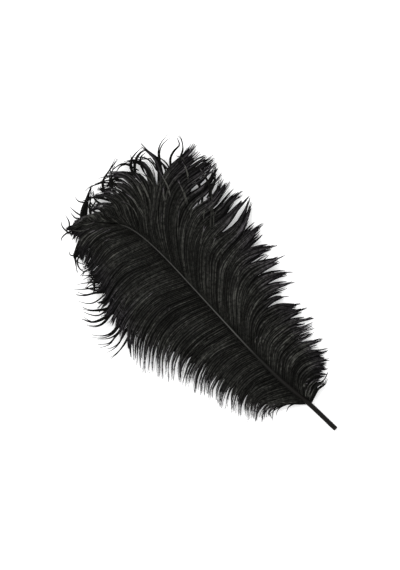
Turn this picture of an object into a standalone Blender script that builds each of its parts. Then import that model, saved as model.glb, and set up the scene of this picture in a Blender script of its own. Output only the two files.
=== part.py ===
"""Ostrich plume, lying on a surface: a bare quill, a curved shaft, and two vanes of barbs gathered in locks.

The feather grew as one piece, so it is one solid. Metres, +Z up. The shaft runs along +Y from the quill's
cut end to the tip, and the origin is on the surface, under the middle of the feather's box.
"""

import math
import random

import bmesh
import bpy
from mathutils import Vector

MM = 0.001

# The shaft: distance along Y, offset across, and height of its centreline over the surface, in millimetres.
# It lies on the surface for the length of the bare quill, then arches over, and its tip bends to the left.
SHAFT_LINE = (
    (0, 1.1, 2.1),
    (32, 0.2, 2.1),
    (62, -2.5, 5.2),
    (100, -2.8, 9.8),
    (140, -1.3, 13.0),
    (180, 0.4, 14.0),
    (212, 1.4, 13.0),
    (238, 0.3, 10.6),
    (256, -4.0, 8.0),
    (269, -14.0, 5.2),
    (278, -26.0, 2.6),
)
SHAFT_STEPS = 5
SHAFT_SIDES = 8
# Distance along the shaft and its radius there.
SHAFT_RADII = ((0, 2.1), (35, 2.1), (60, 1.8), (100, 1.3), (150, 0.9), (220, 0.65), (262, 0.45), (290, 0.3))

# Guide barbs of each vane, from the quill to the tip: the distance along the shaft where each one grows, its
# length in millimetres, and its heading at its root, one third out, two thirds out and at its tip, in degrees
# outwards from +Y. A heading over 90 points back towards the quill.
LEFT_GUIDES = (
    (36, 36, 40, 52, 78, 110),
    (48, 43, 50, 68, 92, 126),
    (62, 47, 66, 82, 102, 128),
    (80, 52, 72, 86, 103, 126),
    (98, 56, 74, 88, 102, 122),
    (116, 60, 75, 88, 101, 120),
    (134, 66, 76, 88, 100, 118),
    (150, 74, 77, 87, 100, 126),
    (163, 84, 78, 88, 102, 132),
    (177, 94, 72, 84, 108, 138),
    (190, 88, 70, 86, 110, 116),
    (203, 82, 70, 86, 106, 104),
    (218, 79, 74, 86, 104, 98),
    (232, 72, 78, 86, 103, 104),
    (246, 65, 80, 86, 103, 122),
    (257, 63, 78, 84, 102, 128),
    (265, 56, 66, 80, 104, 126),
    (274, 38, 52, 66, 84, 96),
    (288, 20, 48, 50, 56, 60),
)
RIGHT_GUIDES = (
    (36, 26, 64, 84, 98, 118),
    (42, 42, 48, 78, 112, 130),
    (52, 48, 46, 78, 110, 126),
    (62, 48, 48, 82, 102, 116),
    (74, 52, 50, 84, 98, 110),
    (85, 57, 52, 84, 95, 108),
    (98, 61, 50, 72, 96, 128),
    (112, 72, 46, 62, 92, 126),
    (125, 82, 44, 58, 90, 112),
    (140, 88, 46, 60, 88, 112),
    (152, 92, 46, 58, 86, 98),
    (164, 97, 46, 58, 86, 74),
    (176, 98, 45, 56, 82, 96),
    (190, 99, 45, 56, 78, 84),
    (203, 102, 45, 54, 74, 92),
    (214, 104, 44, 48, 66, 94),
    (222, 98, 44, 44, 52, 84),
    (229, 85, 44, 45, 40, 26),
    (236, 76, 43, 44, 32, 2),
    (242, 67, 44, 37, 20, -8),
    (249, 55, 42, 31, 12, -12),
    (257, 44, 38, 22, 6, -16),
    (266, 32, 24, 10, -6, -22),
    (276, 22, -2, -6, -14, -22),
    (288, 16, -20, -22, -24, -20),
)

LOCKS_A_SIDE = 36
FIRST_LOCK = 36.0
LAST_LOCK = 286.0
LOCK_POINTS = 9
STEPS_A_POINT = 8
# Distance out along a lock, as a share of its length, and its width there as a share of its widest.
LOCK_TAPER = ((0.0, 0.55), (0.2, 0.9), (0.45, 1.0), (0.8, 0.78), (1.0, 0.22))
# Share of the way from the first lock to the last, and the widest that a lock is there, in millimetres.
LOCK_WIDTHS = ((0.0, 5.5), (0.1, 9.5), (0.85, 10.5), (1.0, 6.0))
LOCK_FLATNESS = 0.26
# How far a lock's tip is over the surface, how much it arches between shaft and tip, how far over or under
# the others it lies there, and how late along it the fall from the shaft comes.
TIP_HEIGHT = 0.35
LOCK_ARCH = 3.4
LOCK_LAYER = 0.9
LOCK_FALL = 1.5
LIFTED_EVERY = 3
TIP_LIFTS = (3.6, 9.0)
LENGTH_SPREAD = 0.05
HEADING_SPREAD = 5.0
SEED = 7

PLUME_BLACK = (0.012, 0.012, 0.011, 1.0)
WELD = 0.000001


def lerp_table(table, at):
    """The values of a table's row at a distance, read in straight lines between its rows."""
    if at <= table[0][0]:
        return table[0][1:]
    for low, high in zip(table, table[1:]):
        if at <= high[0]:
            share = (at - low[0]) / (high[0] - low[0])
            return tuple(a + (b - a) * share for a, b in zip(low[1:], high[1:]))
    return table[-1][1:]


def smooth_line(points, steps):
    """A smooth line through the points, with this many steps between each two (Catmull-Rom)."""
    padded = [2 * points[0] - points[1], *points, 2 * points[-1] - points[-2]]
    line = []
    for before, start, end, after in zip(padded, padded[1:], padded[2:], padded[3:]):
        slope = end - before
        bend = 2 * before - 5 * start + 4 * end - after
        twist = 3 * (start - end) + after - before
        for i in range(steps):
            t = i / steps
            line.append(start + (slope * t + bend * t**2 + twist * t**3) / 2)
    return [*line, points[-1]]


def clear_scene():
    for obj in list(bpy.data.objects):
        bpy.data.objects.remove(obj, do_unlink=True)


def collection(name, helper=False):
    made = bpy.data.collections.new(name)
    bpy.context.scene.collection.children.link(made)
    made.hide_render = helper
    return made


def shaft_line():
    """The shaft's centreline as points, and the distance along it of each."""
    points = smooth_line([Vector((x, y, z)) for y, x, z in SHAFT_LINE], SHAFT_STEPS)
    along = [0.0]
    for a, b in zip(points, points[1:]):
        along.append(along[-1] + (b - a).length)
    return points, along


def shaft_point(line, at):
    points, along = line
    return Vector(lerp_table([(d, *p) for d, p in zip(along, points)], at))


def lock_path(line, guides, side, at, rng, lifted):
    """The centreline of one lock, from inside the shaft out to its tip on the surface."""
    length, *headings = lerp_table(guides, at)
    length *= 1 + rng.uniform(-LENGTH_SPREAD, LENGTH_SPREAD)
    drift = rng.uniform(-HEADING_SPREAD, HEADING_SPREAD)
    turns = [(i / (len(headings) - 1), h) for i, h in enumerate(headings)]
    root = shaft_point(line, at)
    layer = rng.choice((-LOCK_LAYER, LOCK_LAYER))
    tip_height = TIP_HEIGHT + (rng.uniform(*TIP_LIFTS) if lifted else 0)
    steps = STEPS_A_POINT * (LOCK_POINTS - 1)
    path, here = [], root.copy()
    for i in range(steps + 1):
        t = i / steps
        if i % STEPS_A_POINT == 0:
            arch = (LOCK_ARCH + layer) * math.sin(math.pi * t)
            level = root.z + (tip_height - root.z) * t**LOCK_FALL + arch
            path.append(Vector((here.x, here.y, level)))
        heading = math.radians(lerp_table(turns, t)[0] + drift * t)
        here += Vector((side * math.sin(heading), math.cos(heading), 0)) * (length / steps)
    return path


def lens_profile(helpers):
    """The section of a lock: a flat lens one millimetre wide, which a curve's radius scales."""
    curve = bpy.data.curves.new("lock_section", "CURVE")
    spline = curve.splines.new("POLY")
    corners = ((0.5, 0), (0, LOCK_FLATNESS / 2), (-0.5, 0), (0, -LOCK_FLATNESS / 2))
    spline.points.add(len(corners) - 1)
    for point, (x, y) in zip(spline.points, corners):
        point.co = (x * MM, y * MM, 0, 1)
    spline.use_cyclic_u = True
    obj = bpy.data.objects.new("lock_section", curve)
    obj.hide_render = True
    obj.display_type = "WIRE"
    helpers.objects.link(obj)
    return obj


def swept_mesh(name, path, radii, helpers, section=None):
    """A closed mesh swept along a path: round with a radius in metres, or a section scaled by it."""
    curve = bpy.data.curves.new(name, "CURVE")
    curve.dimensions = "3D"
    curve.twist_mode = "Z_UP"
    curve.use_fill_caps = True
    if section:
        curve.bevel_mode = "OBJECT"
        curve.bevel_object = section
    else:
        curve.bevel_depth = MM
        curve.bevel_resolution = SHAFT_SIDES // 2 - 2
    spline = curve.splines.new("POLY")
    spline.points.add(len(path) - 1)
    for point, place, radius in zip(spline.points, path, radii):
        point.co = (*(place * MM), 1)
        point.radius = radius
    guide = bpy.data.objects.new(name, curve)
    helpers.objects.link(guide)
    bpy.context.view_layer.update()
    mesh = bpy.data.meshes.new_from_object(guide.evaluated_get(bpy.context.evaluated_depsgraph_get()))
    made = bpy.data.objects.new(name, mesh)
    made.matrix_world = guide.matrix_world
    bpy.data.objects.remove(guide, do_unlink=True)
    shape = bmesh.new()
    shape.from_mesh(mesh)
    bmesh.ops.remove_doubles(shape, verts=shape.verts, dist=WELD)
    bmesh.ops.recalc_face_normals(shape, faces=shape.faces)
    shape.to_mesh(mesh)
    shape.free()
    return made


def build_shaft(line, helpers):
    points, along = line
    radii = [lerp_table(SHAFT_RADII, d)[0] for d in along]
    return swept_mesh("shaft", points, radii, helpers)


def build_locks(line, helpers):
    """The locks of both vanes, each a flat tapered blade that starts inside the shaft."""
    section = lens_profile(helpers)
    rng = random.Random(SEED)
    locks = []
    for side, guides in ((-1, LEFT_GUIDES), (1, RIGHT_GUIDES)):
        for i in range(LOCKS_A_SIDE):
            share = i / (LOCKS_A_SIDE - 1)
            at = FIRST_LOCK + (LAST_LOCK - FIRST_LOCK) * share
            path = lock_path(line, guides, side, at, rng, lifted=i % LIFTED_EVERY == 1)
            widest = lerp_table(LOCK_WIDTHS, share)[0]
            radii = [widest * lerp_table(LOCK_TAPER, k / (LOCK_POINTS - 1))[0] for k in range(LOCK_POINTS)]
            locks.append(swept_mesh(f"lock_{len(locks):02d}", path, radii, helpers, section))
    return locks


def plume_material():
    material = bpy.data.materials.new("plume_black")
    material.use_nodes = True
    shader = material.node_tree.nodes["Principled BSDF"]
    shader.inputs["Base Color"].default_value = PLUME_BLACK
    shader.inputs["Roughness"].default_value = 0.55
    shader.inputs["Metallic"].default_value = 0.0
    return material


def centre_on_origin(mesh):
    """Moves the mesh so that its box stands on the surface with its middle over the origin."""
    low = Vector(min(v.co[i] for v in mesh.vertices) for i in range(3))
    high = Vector(max(v.co[i] for v in mesh.vertices) for i in range(3))
    middle = (low + high) / 2
    for vertex in mesh.vertices:
        vertex.co -= Vector((middle.x, middle.y, low.z))


def build_feather():
    clear_scene()
    shown = collection("ostrich_feather")
    helpers = collection("helpers", helper=True)
    line = shaft_line()
    feather = build_shaft(line, helpers)
    feather.name = feather.data.name = "feather"
    shown.objects.link(feather)
    locks = build_locks(line, helpers)
    joined = collection("locks", helper=True)
    for lock in locks:
        lock.hide_render = True
        lock.display_type = "WIRE"
        joined.objects.link(lock)
    union = feather.modifiers.new("grown_together", "BOOLEAN")
    union.operation = "UNION"
    union.operand_type = "COLLECTION"
    union.collection = joined
    bpy.context.view_layer.update()
    whole = bpy.data.meshes.new_from_object(feather.evaluated_get(bpy.context.evaluated_depsgraph_get()))
    feather.modifiers.clear()
    feather.data = whole
    whole.name = "feather"
    for lock in locks:
        bpy.data.objects.remove(lock, do_unlink=True)
    centre_on_origin(whole)
    whole.materials.clear()
    whole.materials.append(plume_material())


build_feather()
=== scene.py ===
"""The looks of a black ostrich plume: its quill and shaft, and the barbs and barbules of both vanes.

Sizes are in millimetres in the feather's own frame, where the shaft runs along Y from the quill's cut end,
X is to the right of the shaft seen from above, and Z is the height over the surface.
"""

import math

import bpy
import numpy as np
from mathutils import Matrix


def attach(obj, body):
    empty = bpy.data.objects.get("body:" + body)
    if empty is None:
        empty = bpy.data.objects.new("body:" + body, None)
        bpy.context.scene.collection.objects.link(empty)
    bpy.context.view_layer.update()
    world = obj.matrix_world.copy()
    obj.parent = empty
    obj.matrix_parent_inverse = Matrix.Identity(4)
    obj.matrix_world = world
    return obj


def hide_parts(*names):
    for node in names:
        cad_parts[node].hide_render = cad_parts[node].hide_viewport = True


MM = 0.001
SEED = 11

# The shaft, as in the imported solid: distance along Y, offset across, and height of its centreline.
SHAFT_LINE = (
    (0, 1.1, 2.1),
    (32, 0.2, 2.1),
    (62, -2.5, 5.2),
    (100, -2.8, 9.8),
    (140, -1.3, 13.0),
    (180, 0.4, 14.0),
    (212, 1.4, 13.0),
    (238, 0.3, 10.6),
    (256, -4.0, 8.0),
    (269, -14.0, 5.2),
    (278, -26.0, 2.6),
)
SHAFT_RADII = ((0, 2.1), (35, 2.1), (60, 1.8), (85, 1.3), (110, 0.7), (160, 0.5), (220, 0.42), (262, 0.35), (290, 0.2))
# How high the shaft's section is as a share of its width: round in the quill, flat where the barbs grow.
SHAFT_FLATNESS = ((0, 1.0), (36, 1.0), (70, 0.7), (150, 0.8), (290, 0.9))

# The bore of the quill's cut end, as a share of its width, and how deep it is open.
QUILL_BORE, QUILL_HOLLOW = 0.55, 1.5

# Guide barbs, from the quill to the tip: where each grows on the shaft, how far its tip lifts off the surface,
# how soon the vane parts between it and the next one (0 to 10), and the points that it passes, seen from above.
# The barbs between two guides follow them, and gather to them where the vane parts.
LEFT_GUIDES = (
    (34, 0, 3, (-5, 39), (-11, 44.5), (-20, 50), (-29, 52), (-32, 48)),
    (40, 2, 5, (-6, 46), (-14, 52), (-24, 56), (-33, 55), (-38, 50)),
    (46, 0, 4, (-8, 51.5), (-18, 58), (-28, 61), (-36, 58), (-41, 54)),
    (55, 0, 6, (-9, 59.5), (-20, 64), (-30, 66), (-38, 62), (-43, 57)),
    (64, 3, 6, (-10, 66.5), (-22, 71), (-32, 71), (-40, 67), (-46, 61)),
    (74, 0, 8, (-10, 76.5), (-22, 80), (-34, 79), (-42, 75), (-49, 68)),
    (84, 2, 7, (-10, 86.5), (-22, 89), (-34, 88), (-44, 84), (-51, 77)),
    (94, 0, 6, (-10, 96.5), (-22, 99), (-36, 98), (-47, 94), (-55, 88)),
    (104, 3, 4, (-10, 106.5), (-24, 110), (-38, 109), (-50, 105), (-57, 99)),
    (114, 0, 6, (-12, 117), (-26, 120), (-40, 119), (-52, 115), (-60, 109)),
    (124, 2, 7, (-12, 126.5), (-26, 130), (-40, 130), (-53, 126), (-62, 120)),
    (134, 0, 5, (-12, 136.5), (-26, 140), (-42, 140), (-55, 136), (-64, 128)),
    (143, 3, 8, (-12, 146.5), (-28, 150), (-44, 150), (-58, 145), (-69, 135)),
    (152, 0, 6, (-12, 155.5), (-28, 160), (-45, 160), (-60, 154), (-73, 142)),
    (161, 2, 9, (-12, 165.5), (-28, 170), (-45, 170), (-62, 164), (-79, 150)),
    (169, 0, 5, (-12, 173.5), (-28, 180), (-46, 180), (-64, 174), (-84, 158)),
    (177, 3, 4, (-14, 183.5), (-30, 190), (-48, 191), (-66, 185), (-82, 165)),
    (186, 5, 1, (-14, 192.5), (-30, 198), (-48, 199), (-64, 197), (-80, 190)),
    (195, 2, 4, (-14, 201.5), (-30, 207), (-48, 207), (-64, 204), (-76, 198)),
    (204, 6, 5, (-14, 209.5), (-30, 214), (-46, 215), (-58, 214), (-68, 212), (-77, 216)),
    (213, 3, 6, (-14, 217.5), (-30, 223), (-44, 224), (-55, 222.5), (-63, 221), (-69, 223)),
    (222, 6, 7, (-14, 226.5), (-30, 232), (-43, 232), (-52, 230.5), (-58, 229.5), (-63, 232)),
    (231, 3, 6, (-14, 235.5), (-30, 240), (-42, 240), (-50, 239), (-56, 239.5), (-61, 244)),
    (240, 5, 4, (-14, 244.5), (-29, 248), (-41, 247), (-48, 247), (-53, 247.5), (-57, 251)),
    (249, 2, 3, (-14, 252.5), (-28, 257), (-40, 257), (-47, 256), (-52, 255), (-55, 257)),
    (256, 6, 4, (-14, 263), (-26, 267), (-38, 268), (-46, 266), (-52, 259)),
    (262, 3, 8, (-18, 268), (-30, 272), (-40, 273), (-49, 270), (-56, 264)),
    (268, 6, 3, (-22, 274), (-32, 278), (-39, 280), (-43, 279)),
    (275, 3, 2, (-28, 280), (-36, 283), (-43, 285)),
    (283, 6, 2, (-29, 281.5), (-35, 285), (-42, 288)),
    (290, 4, 2, (-30, 283.5), (-35, 286.5), (-40, 289.5)),
)
RIGHT_GUIDES = (
    (32, 0, 1, (6, 36), (13, 38.5), (18, 38), (23, 35)),
    (36, 2, 2, (6, 42), (13, 45), (22, 44), (29.5, 38.5)),
    (40, 0, 2, (8, 49), (18, 51), (27.5, 48.5), (34.5, 42)),
    (46, 3, 2, (8, 56), (20, 57.5), (31.5, 53.5), (40.5, 46)),
    (54, 0, 4, (9, 63), (20, 65), (32, 61), (42, 54)),
    (62, 2, 1, (10, 71), (20, 73), (33, 71), (43, 66)),
    (70, 0, 1, (10, 80), (20, 82), (33, 80), (44, 75)),
    (78, 3, 2, (10, 88), (20, 90), (34, 88.5), (47.5, 82.5)),
    (84, 0, 5, (10, 95), (20, 97), (34, 95), (44, 91), (53, 85)),
    (90, 2, 3, (10, 103), (22, 107), (36, 103.5), (46, 99), (54, 95)),
    (97, 4, 6, (10, 110), (22, 115), (35, 113), (44, 109), (53, 101)),
    (101, 1, 1, (10, 114), (22, 120), (35, 120.5), (44, 118), (52, 112)),
    (105, 0, 4, (10, 118), (22, 125), (37, 128), (50, 125.5), (62, 119)),
    (111, 3, 4, (10, 124), (22, 134), (38, 138), (52, 136), (61, 131.5), (67, 126)),
    (118, 5, 5, (10, 131), (20, 141), (32, 148), (46, 149.5), (58, 145.5), (70, 140.5)),
    (128, 0, 4, (10, 141), (20, 151), (30, 158), (44, 162), (60, 158), (73, 151)),
    (140, 4, 3, (10, 153), (20, 162), (30, 170), (45, 173), (60, 173), (78, 172)),
    (152, 2, 8, (10, 164), (20, 173), (30, 182), (44, 185), (60, 184), (72, 186), (86, 192)),
    (163, 5, 5, (10, 176), (20, 186), (32, 195), (46, 198), (62, 196), (84, 198)),
    (172, 0, 7, (10, 185), (20, 194), (32, 202), (48, 206), (62, 204), (76, 206), (88, 205)),
    (180, 4, 9, (15, 199), (30, 211), (48, 218), (66, 216), (86, 220)),
    (189, 2, 8, (15, 208), (31, 223), (49, 230), (68, 229), (86, 232)),
    (196, 6, 1, (16, 218), (31, 233), (46, 240.5), (60, 243), (74, 240.5), (90, 239)),
    (202, 3, 1, (17, 225), (32, 240), (46, 248), (60, 250), (76, 247.5), (89, 245.5)),
    (206, 2, 1, (17, 229), (32, 244), (45, 253), (58, 256.5), (73, 256), (88, 255)),
    (210, 0, 1, (17, 233), (31, 247), (44, 255.5), (56, 259.5), (70, 261), (79, 260.5), (88, 262)),
    (214, 2, 10, (16, 236), (29, 249), (42, 257.5), (54, 261), (66, 263), (77, 262), (88, 265)),
    (218, 7, 10, (15, 239), (30, 251), (43, 260), (50.5, 268), (55, 279), (55, 292)),
    (224, 3, 6, (14, 241), (28, 251), (39, 261), (45.5, 274), (45, 286), (38, 292)),
    (228, 6, 4, (12, 242), (24, 253), (33, 265), (36, 277), (31, 287), (22, 295)),
    (232, 8, 5, (10, 243), (19, 254), (26, 268), (28, 280), (26, 289), (19, 296)),
    (238, 3, 5, (8, 249), (15, 258), (19, 270), (19, 281), (16, 288), (9, 293)),
    (245, 6, 6, (5, 256), (10, 265), (12, 276), (10, 285), (4, 292)),
    (252, 2, 8, (1, 262), (5, 271), (5, 280), (2, 287), (-3, 291)),
    (259, 7, 8, (-5, 268), (-3, 274), (-4, 279), (-8, 283), (-12, 285)),
    (268, 3, 2, (-14, 274), (-13, 278.5), (-16, 282.5), (-24, 285)),
    (278, 6, 2, (-23, 279), (-23, 283), (-27, 286), (-33, 287)),
    (290, 4, 2, (-30, 281), (-33, 285), (-39, 288.5)),
)
# Thin bundles of barbs that stand clear of the rest: the lift of the tip, how many barbs, and the points passed.
WISPS = (
    (4, 2, (-58, 190), (-70, 185), (-80, 182.5), (-88, 182), (-95, 183)),
    (6, 2, (-56, 193), (-68, 190), (-80, 187), (-87, 188), (-92, 190.5)),
    (5, 3, (-56, 198), (-68, 194.5), (-78, 193), (-86, 192.5), (-94, 198)),
    (5, 1, (-60, 197), (-72, 194), (-82, 195.5), (-91, 203)),
    (8, 3, (-54, 203), (-66, 199), (-77, 197.5), (-85, 201.5), (-90.5, 209)),
    (6, 2, (-54, 212), (-66, 210), (-77, 209), (-84, 212), (-88.5, 218)),
    (7, 4, (-54, 209), (-66, 210), (-76, 212.5), (-83, 217), (-86.5, 225)),
    (7, 1, (-50, 217), (-62, 214), (-74, 212), (-82, 216), (-86, 222)),
    (8, 1, (-56, 218), (-66, 215.5), (-74, 216), (-79, 221), (-82.5, 229)),
    (9, 3, (-54, 211), (-64, 214.5), (-71, 219), (-76.5, 224), (-80.5, 231)),
    (6, 2, (-48, 225), (-58, 223), (-65, 221.5), (-72, 221)),
    (6, 2, (-48, 218), (-58, 219.5), (-66, 220), (-73, 218.5)),
    (7, 1, (-46, 226), (-58, 225.5), (-68, 226.5), (-74, 230), (-79, 238)),
    (8, 3, (-46, 221), (-56, 227), (-64, 233), (-71, 237.5), (-75.5, 244)),
    (8, 1, (-50, 228), (-60, 236), (-68, 242), (-74.5, 248)),
    (7, 1, (-40, 238), (-50, 236), (-58, 241), (-65, 246), (-70, 249)),
    (6, 2, (-50, 243), (-57, 240), (-62, 235.5), (-66, 234.5)),
    (6, 1, (-48, 246), (-56, 243), (-65, 242)),
    (7, 2, (-50, 223), (-57, 229), (-62, 235), (-66, 242)),
    (5, 2, (-44, 236), (-52, 238), (-60, 240), (-66, 242)),
    (8, 2, (-42, 240), (-50, 242), (-57, 247), (-62, 250)),
    (6, 2, (-42, 250), (-50, 250), (-56, 252), (-62, 251)),
    (9, 1, (-44, 262), (-52, 264), (-57, 259), (-57, 253), (-53, 249)),
    (7, 1, (-40, 270), (-48, 271), (-54, 268), (-55, 262), (-52, 256)),
    (10, 1, (-44, 268), (-52, 268), (-55, 271), (-53, 275)),
    (8, 2, (-42, 272), (-50, 270), (-56, 264), (-62, 256)),
    (8, 1, (50, 258), (56, 266), (58, 276), (57, 286), (55, 295)),
    (10, 1, (52, 255), (59, 264), (60, 273), (57, 281)),
    (11, 2, (50, 262), (57, 273), (63, 280), (70, 283), (79, 283)),
    (9, 2, (54, 256), (60, 263), (66, 269), (73, 271), (80, 271), (84, 277)),
    (8, 2, (60, 255), (70, 262), (79, 267), (84, 274), (84.5, 279)),
    (7, 2, (50, 218), (60, 224), (67, 233), (69, 245), (71, 257)),
    (9, 2, (56, 212), (68, 222), (75, 232), (77, 246)),
    (6, 2, (58, 226), (70, 231), (80, 233), (90, 238)),
    (8, 2, (64, 222), (76, 226), (84, 232), (90, 239)),
    (5, 2, (52, 208), (64, 217), (75, 221), (85, 226)),
    (4, 3, (60, 249), (72, 250), (82, 248.5), (90, 246)),
    (5, 3, (60, 244.5), (72, 245.5), (82, 244), (91, 242)),
    (4, 3, (62, 253), (74, 253.5), (83, 252), (90, 249.5)),
    (5, 3, (44, 234), (53, 236.5), (62, 238), (71, 238)),
    (6, 2, (60, 228), (66, 233), (70, 240), (72, 248)),
    (5, 2, (66, 236), (74, 236), (82, 237.5), (89, 241)),
    (4, 1, (50, 222), (60, 226), (70, 227.5), (82, 229)),
    (3, 2, (2, 32), (9, 34.5), (15, 36), (22, 35), (27, 37)),
    (3, 1, (4, 34), (12, 37), (17, 35.5), (19, 37.5)),
    (4, 2, (6, 35), (16, 39), (24, 38.5), (31, 41)),
    (3, 1, (-5, 38), (-15, 47), (-24, 49.5), (-31, 50)),
    (3, 1, (-4, 39), (-14, 46), (-22, 48), (-28, 45)),
    (2, 1, (-8, 43), (-18, 50), (-26, 50), (-33, 44)),
    (3, 1, (-2, 36), (-8, 41), (-14, 43), (-19, 41)),
    (8, 4, (-29, 281), (-26, 286), (-20, 291), (-11, 295), (-4, 298.5), (1, 300)),
    (7, 4, (-26, 280), (-22, 286), (-15, 291.5), (-8, 296), (-2, 298.5)),
    (6, 2, (-20, 279), (-16, 286), (-9, 292), (-2, 295)),
    (5, 1, (14, 284), (13, 290), (10, 295), (5, 298), (-1.5, 301), (-8, 301.5)),
    (9, 3, (5, 278), (4, 286), (6.5, 292.5), (10, 296), (15.5, 298), (24.5, 299.5), (33.5, 301.5)),
    (7, 2, (10, 276), (11.5, 284.5), (13, 290), (16.5, 294), (20.5, 297.5), (24.5, 301)),
    (6, 4, (36, 266), (35.5, 273), (33.5, 279.5), (28.5, 286), (23, 291), (18, 295)),
    (9, 2, (39, 281), (37, 287), (35, 292.5), (31, 295), (26, 295), (20.5, 293.5)),
    (8, 2, (30, 277), (33.5, 283), (36, 288.5), (41.5, 292.5), (48, 294), (54.5, 294.5)),
    (10, 3, (34, 279), (37.5, 284.5), (42.5, 288.5), (49, 290.5), (54.5, 290), (57, 288.5)),
    (6, 2, (54, 254), (57, 261), (57.5, 269), (57, 275.5), (55.5, 282), (55.5, 288.5), (54.5, 294)),
    (7, 1, (33, 280), (36, 286), (40, 291), (44, 296)),
    (7, 3, (43, 268), (45, 276), (44, 284), (40, 291), (34, 294)),
    (8, 2, (41, 277), (44, 284), (48.5, 288), (54, 288)),
    (6, 1, (50, 270), (52, 278), (50, 286), (44, 292)),
    (7, 1, (40, 272), (42, 280), (46, 286), (52, 286)),
    (8, 2, (18, 277), (16, 284), (16.5, 291), (21, 296), (27, 298)),
    (9, 3, (30, 276), (27, 284), (22, 290), (15, 292), (9, 290)),
    (6, 2, (-9, 275), (-11.5, 279), (-14, 284), (-14.5, 290), (-11, 294)),
    (7, 1, (-7, 276), (-9.5, 281), (-11, 287), (-9.5, 293), (-5, 296)),
    (8, 2, (-1, 276), (-3.5, 281), (-5.5, 286), (-5.5, 291), (-2, 296)),
    (8, 2, (3, 279), (0, 285), (-4, 290.5), (-9, 294), (-15, 296)),
    (7, 2, (10, 276), (8, 281), (5, 286), (3.5, 292.5), (4, 296)),
    (9, 2, (24, 277), (22, 286), (17, 291), (10, 295), (3, 297)),
    (6, 2, (30, 275), (27, 286), (21, 293), (14, 297), (8, 299)),
    (7, 1, (-40, 282), (-42.5, 287), (-42.5, 293.5), (-40, 298)),
    (8, 1, (-43, 284), (-39, 288.5), (-35.5, 292.5), (-33.5, 299)),
    (7, 1, (-26, 283), (-27.5, 288), (-29.5, 291), (-29, 297.5)),
    (9, 1, (-22, 283), (-24, 288.5), (-25.5, 295), (-25.5, 301.5)),
    (11, 1, (-12, 287), (-14.5, 294.5), (-17, 299), (-16.5, 304.5)),
    (6, 1, (-38, 284), (-43, 286.5), (-49.5, 287), (-54, 284.5)),
    (8, 1, (-18, 283), (-13, 287), (-8, 288), (-2, 291)),
    (7, 2, (2, 281), (6, 286), (11, 287.5), (16, 286)),
)
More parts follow.
